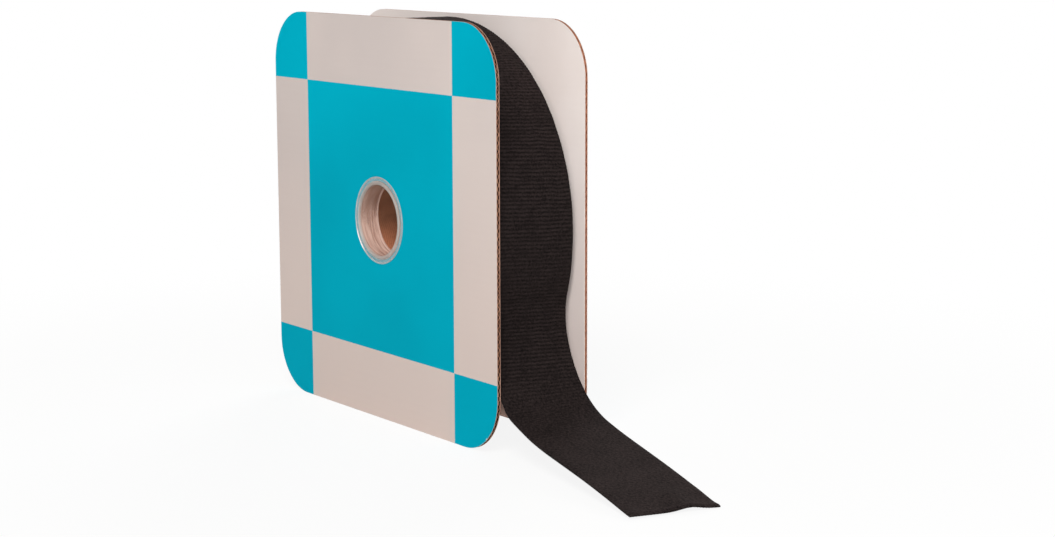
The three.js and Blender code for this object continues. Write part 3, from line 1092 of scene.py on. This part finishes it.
def loopFinish():
    finish = Finish("loopFelt")
    flat = finish.coords("UV")
    along = finish.axis(flat, "X")
    ribbed = finish.node("ShaderNodeAttribute", {"attribute_name": "ribs", "out": "Fac"})
    nap = finish.grain(flat, *felt["napGrain"])
    tuft = finish.grain(flat, *felt["tuftGrain"])
    patch = finish.grain(flat, *felt["patchGrain"])
    fibre = finish.grain(finish.stretched(flat, felt["fibreStretch"]), *felt["fibreGrain"])
    handled = finish.rise(along, *felt["handledRange"])
    # partly painted light: the free end is lighter, as its flat top faces the light, and partly worn
    fadedAndLit = finish.rise(along, *felt["fadedLitRange"])
    # painted light: the roll's top is lighter, as lit from above; it is also brushed rougher there
    brushedAndLit = finish.rise(finish.axis(finish.coords(), "Z"), *felt["brushedLitRange"])
    tuftWeight = felt["tuftWeight"] + handled * felt["handledTuft"] + brushedAndLit * felt["brushedTuft"]
    fibreWeight = felt["fibreWeight"] + brushedAndLit * felt["brushedFibre"]
    shade = felt["middle"] + (ribbed - felt["middle"]) * felt["ribWeight"]
    shade = shade + brushedAndLit * felt["topLightLift"] + fadedAndLit * felt["fadedLitLift"]
    shade = shade + (nap - 0.5) * felt["napWeight"] + (tuft - 0.5) * tuftWeight
    shade = shade + (fibre - 0.5) * fibreWeight + handled * (patch - 0.5) * felt["handledPatch"]
    height = nap * felt["napRelief"] + tuft * felt["tuftRelief"]
    return finish.shade({
        "Base Color": finish.mix(felt["valley"], felt["crest"], finish.rise(shade, *felt["toneRange"])),
        "Roughness": 0.9 + 0.08 * nap,
        "Specular IOR Level": 0.02,
        "Sheen Weight": 0.02,
        "Sheen Roughness": 0.5,
        "Sheen Tint": felt["sheenTint"],
        "Normal": finish.bump(height, felt["relief"]),
    })


hookRows = {
    "pitchAlong": 1.5 * mm,
    "pitchAcross": 1.27 * mm,
    "margin": 0.6 * mm,
    "thick": 0.1 * mm,
    "bends": 4,
    "bendReach": 0.42,  # of the space under the film
    "bendLean": math.radians(38),
    "tipTurn": math.radians(-30),
    "tallest": 0.98,
    "rootGap": 0.01 * mm,
    "colour": srgb(36, 32, 31),
    "gloss": srgb(54, 47, 46),
    "cloudGrain": (300.0, 3.0),
    "relief": 0.04 * mm,
}


def hookFinish():
    finish = Finish("hookNylon")
    cloud = finish.grain(finish.coords("UV"), *hookRows["cloudGrain"])
    return finish.shade({
        "Base Color": finish.mix(hookRows["colour"], hookRows["gloss"], cloud),
        "Roughness": 0.5 + 0.2 * cloud,
        "Specular IOR Level": 0.2,
        "Normal": finish.bump(cloud, hookRows["relief"]),
    })


def makeOuterTurns(loopFelt, hookNylon):
    meanRadius = tape["rollRadius"] - tapeThickness / 2 - turnPitch * tape["outerTurns"] / 2
    length = 2 * math.pi * meanRadius * tape["outerTurns"]
    steps = round(length / ribs["pitch"] * ribs["steps"])

    def route(along, across, depth):
        return ontoOuterTurns(along, across, depth, length)

    bm, tops = flatStrip(length, steps, tape["acrossSteps"], tape["hook"] + tape["glue"], tapeThickness)
    ribTop(bm, tops, -length)
    layTape(bm, route, -length)
    loops = makePiece("outerLoopWeb", bm, [loopFelt])
    join(loops, "spool", "loop_web", "outer_turns_loop_web")
    bm = flatStrip(length, round(steps / ribs["steps"]), tape["hookSteps"], 0, tape["hook"])[0]
    layTape(bm, route, -length)
    hooks = makePiece("outerHookWeb", bm, [hookNylon])
    join(hooks, "spool", "hook_web", "outer_turns_hook_web")


def makeHooks(hookNylon):
    # one bent hook on a flat bed, repeated in rows and then laid along the tail
    filmLow = tape["hook"] - tape["film"]
    margin = hookRows["margin"]
    bm = bmesh.new()
    bmesh.ops.create_circle(bm, cap_ends=True, segments=4, radius=hookRows["thick"])
    bmesh.ops.reverse_faces(bm, faces=bm.faces)
    tip = bm.faces[:][0]
    for step in range(hookRows["bends"]):
        grown = bmesh.ops.extrude_face_region(bm, geom=[tip])
        if step:
            bmesh.ops.delete(bm, geom=[tip], context="FACES_ONLY")
        tip = [item for item in grown["geom"] if isinstance(item, bmesh.types.BMFace)][0]
        lean = hookRows["bendLean"] * step
        shift = Vector((math.sin(lean), 0, -math.cos(lean))) * filmLow * hookRows["bendReach"]
        bmesh.ops.translate(bm, verts=tip.verts[:], vec=shift)
        bmesh.ops.rotate(
            bm, verts=tip.verts[:], cent=tip.calc_center_median(),
            matrix=Matrix.Rotation(hookRows["tipTurn"], 3, "Y"))
    lowest = min(vert.co.z for vert in bm.verts)
    bmesh.ops.scale(bm, verts=bm.verts, vec=(1, 1, filmLow * hookRows["tallest"] / -lowest))
    bmesh.ops.recalc_face_normals(bm, faces=bm.faces)
    start = Vector((margin, margin - tape["width"] / 2, filmLow + hookRows["rootGap"]))
    bmesh.ops.translate(bm, verts=bm.verts, vec=start)
    piece = makePiece("tailHooks", bm, [hookNylon], 50)
    spans = (tail["length"] - 2 * margin, tape["width"] - 2 * margin)
    pitches = (hookRows["pitchAlong"], hookRows["pitchAcross"])
    for axis, (span, pitch) in enumerate(zip(spans, pitches)):
        rows = piece.modifiers.new("rows", "ARRAY")
        rows.use_relative_offset = False
        rows.use_constant_offset = True
        rows.constant_offset_displace = (pitch, 0, 0) if axis == 0 else (0, pitch, 0)
        rows.count = int(span / pitch) + 1
    settle(piece)
    bm = bmesh.new()
    bm.from_mesh(piece.data)
    layTape(bm, ontoTail)
    bm.to_mesh(piece.data)
    bm.free()
    return piece


def makeTail(loopFelt, hookNylon):
    span = tail["length"]
    steps = round(span / ribs["pitch"] * ribs["steps"])
    bm, tops = flatStrip(span, steps, tail["acrossSteps"], tape["hook"] + tape["glue"], tapeThickness)
    ribTop(bm, tops, 0.0)
    layTape(bm, ontoTail)
    loops = makePiece("tailLoopWeb", bm, [loopFelt])
    bm = flatStrip(span, round(steps / 2), tail["filmSteps"], tape["hook"] - tape["film"], tape["hook"])[0]
    layTape(bm, ontoTail)
    film = makePiece("tailHookFilm", bm, [hookNylon])
    hooks = makeHooks(hookNylon)
    hinge = ontoTail(0, 0, tapeThickness)
    free = ontoTail(tail["blendLength"], 0, tapeThickness)
    for piece, slot in ((loops, "loop_web"), (film, "hook_web"), (hooks, "hook_web")):
        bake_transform(piece, "spool", "tail", start=hinge, end=free)
    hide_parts("tail_loop_web")
    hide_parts("tail_hook_web")


wound = {
    "inside": 21.7 * mm,
    "outside": 80.1 * mm,
    "pitch": 1.6 * mm,
    "thickness": 1.42 * mm,
    "stepsPerTurn": 110,
    "wander": 0.35 * mm,
    "wanderNoise": (1.7, 0.4, 9.2),
    "flatTurn": 0.33,  # one turn's length on the UV map
}


def makeInnerTurns(loopFelt):
    turns = (wound["outside"] - wound["inside"]) / wound["pitch"] - 1
    steps = round(turns * wound["stepsPerTurn"])
    width = tape["width"]
    bm = bmesh.new()
    bmesh.ops.create_grid(bm, x_segments=steps, y_segments=2, size=0.5)
    bmesh.ops.translate(bm, verts=bm.verts, vec=(0.5, 0, 0))
    thicken(bm, (0, 0, 1))
    mapFlat(bm, "tapeUV", lambda spot: (
        spot.x * turns * wound["flatTurn"], spot.y * width + spot.z * wound["thickness"]))
    for vert in bm.verts:
        turn = turns * vert.co.x
        angle = tail["leave"] - 2 * math.pi * turn
        radius = wound["inside"] + wound["pitch"] * turn + wound["thickness"] * vert.co.z
        sway = wound["wander"] * noiseAt(turn, 1, wound["wanderNoise"])
        across = vert.co.y * (width - 2 * wound["wander"]) + sway
        vert.co = (radius * math.cos(angle), tape["offset"] + across, radius * math.sin(angle))
    bmesh.ops.recalc_face_normals(bm, faces=bm.faces)
    join(makePiece("woundTurns", bm, [loopFelt]), "spool", "loop_web", "tape_inner_turns")


loopFelt = loopFinish()
hookNylon = hookFinish()
makeInnerTurns(loopFelt)
makeOuterTurns(loopFelt, hookNylon)
makeTail(loopFelt, hookNylon)
print("tape wound")


# the strip under the first turn keeps its solid
strip = {
    "colour": srgb(201, 180, 128),
    "pale": srgb(222, 206, 160),
    "cloudGrain": (200.0, 3.0),
}


def dressStrip():
    finish = Finish("stripFilm")
    cloud = finish.grain(finish.coords(), *strip["cloudGrain"])
    finish.shade({
        "Base Color": finish.mix(strip["colour"], strip["pale"], cloud),
        "Roughness": 0.5 + 0.2 * cloud,
    })
    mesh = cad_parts["start_strip"].data
    mesh.materials.clear()
    mesh.materials.append(finish.material)


dressStrip()
print("strip dressed")
